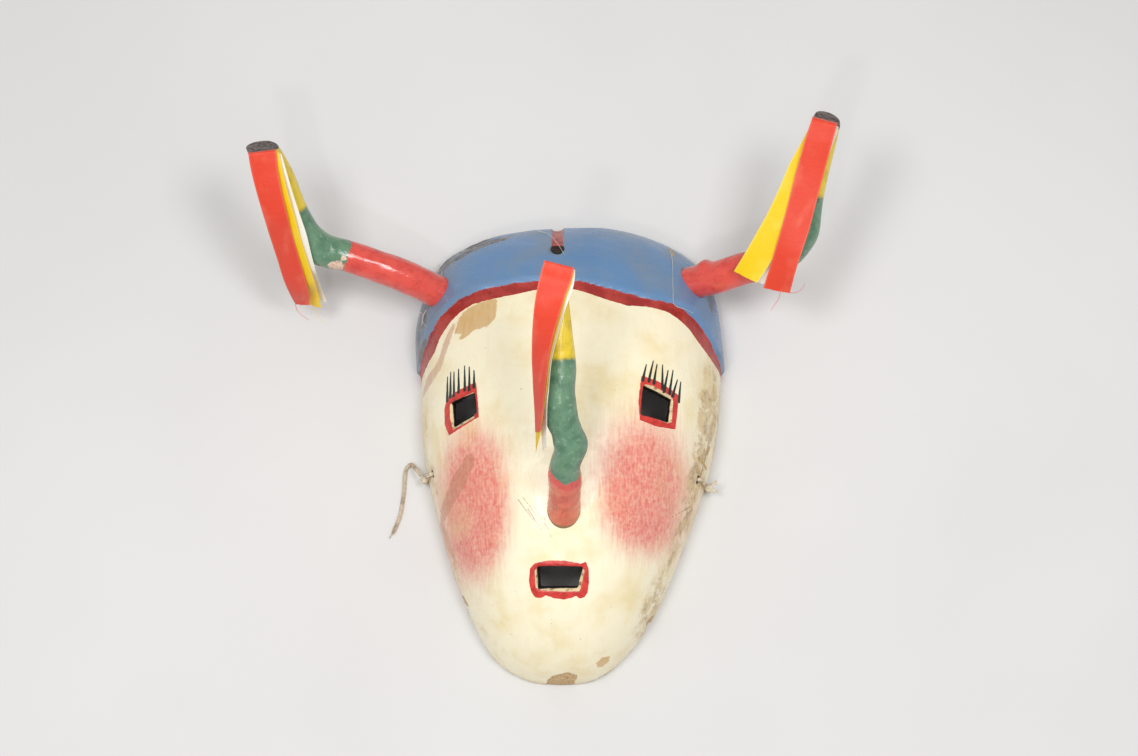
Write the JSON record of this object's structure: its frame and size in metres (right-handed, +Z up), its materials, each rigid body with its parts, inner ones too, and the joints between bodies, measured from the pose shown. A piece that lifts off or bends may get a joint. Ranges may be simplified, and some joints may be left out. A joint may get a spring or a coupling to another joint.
{
  "type": "festival mask",
  "caption": "Carved and painted wooden face mask with a blue cap, branch horns, a branch nose and satin ribbons, lying face up.",
  "frame": {"origin": "on the floor, under the middle of the box around the mask with its horns and ribbons", "axes": "+Z up, out of the painted face; +Y towards the top of the head; +X to the right of someone who looks at the face"},
  "size_m": [0.3112, 0.2862, 0.1641],
  "materials": {
    "painted_wood": "oil paint on carved wood, worn and grimy",
    "painted_branch": "gloss paint in red, green and yellow bands on a peeled branch",
    "red_satin": "satin ribbon",
    "yellow_satin": "satin ribbon",
    "white_satin": "satin ribbon",
    "tie_cord": "soiled cotton cord"
  },
  "bodies": {
    "root": {"mask_shell": "painted_wood", "left_horn": "painted_branch", "right_horn": "painted_branch", "nose_horn": "painted_branch", "left_red_ribbon": "red_satin", "left_yellow_ribbon": "yellow_satin", "left_white_ribbon": "white_satin", "right_red_ribbon": "red_satin", "right_yellow_ribbon": "yellow_satin", "right_white_ribbon": "white_satin", "nose_red_ribbon": "red_satin", "nose_yellow_ribbon": "yellow_satin", "nose_white_ribbon": "white_satin", "left_tie_loop": "tie_cord", "left_tie_cord": "tie_cord", "right_tie_loop": "tie_cord"}
  },
  "joints": []
}
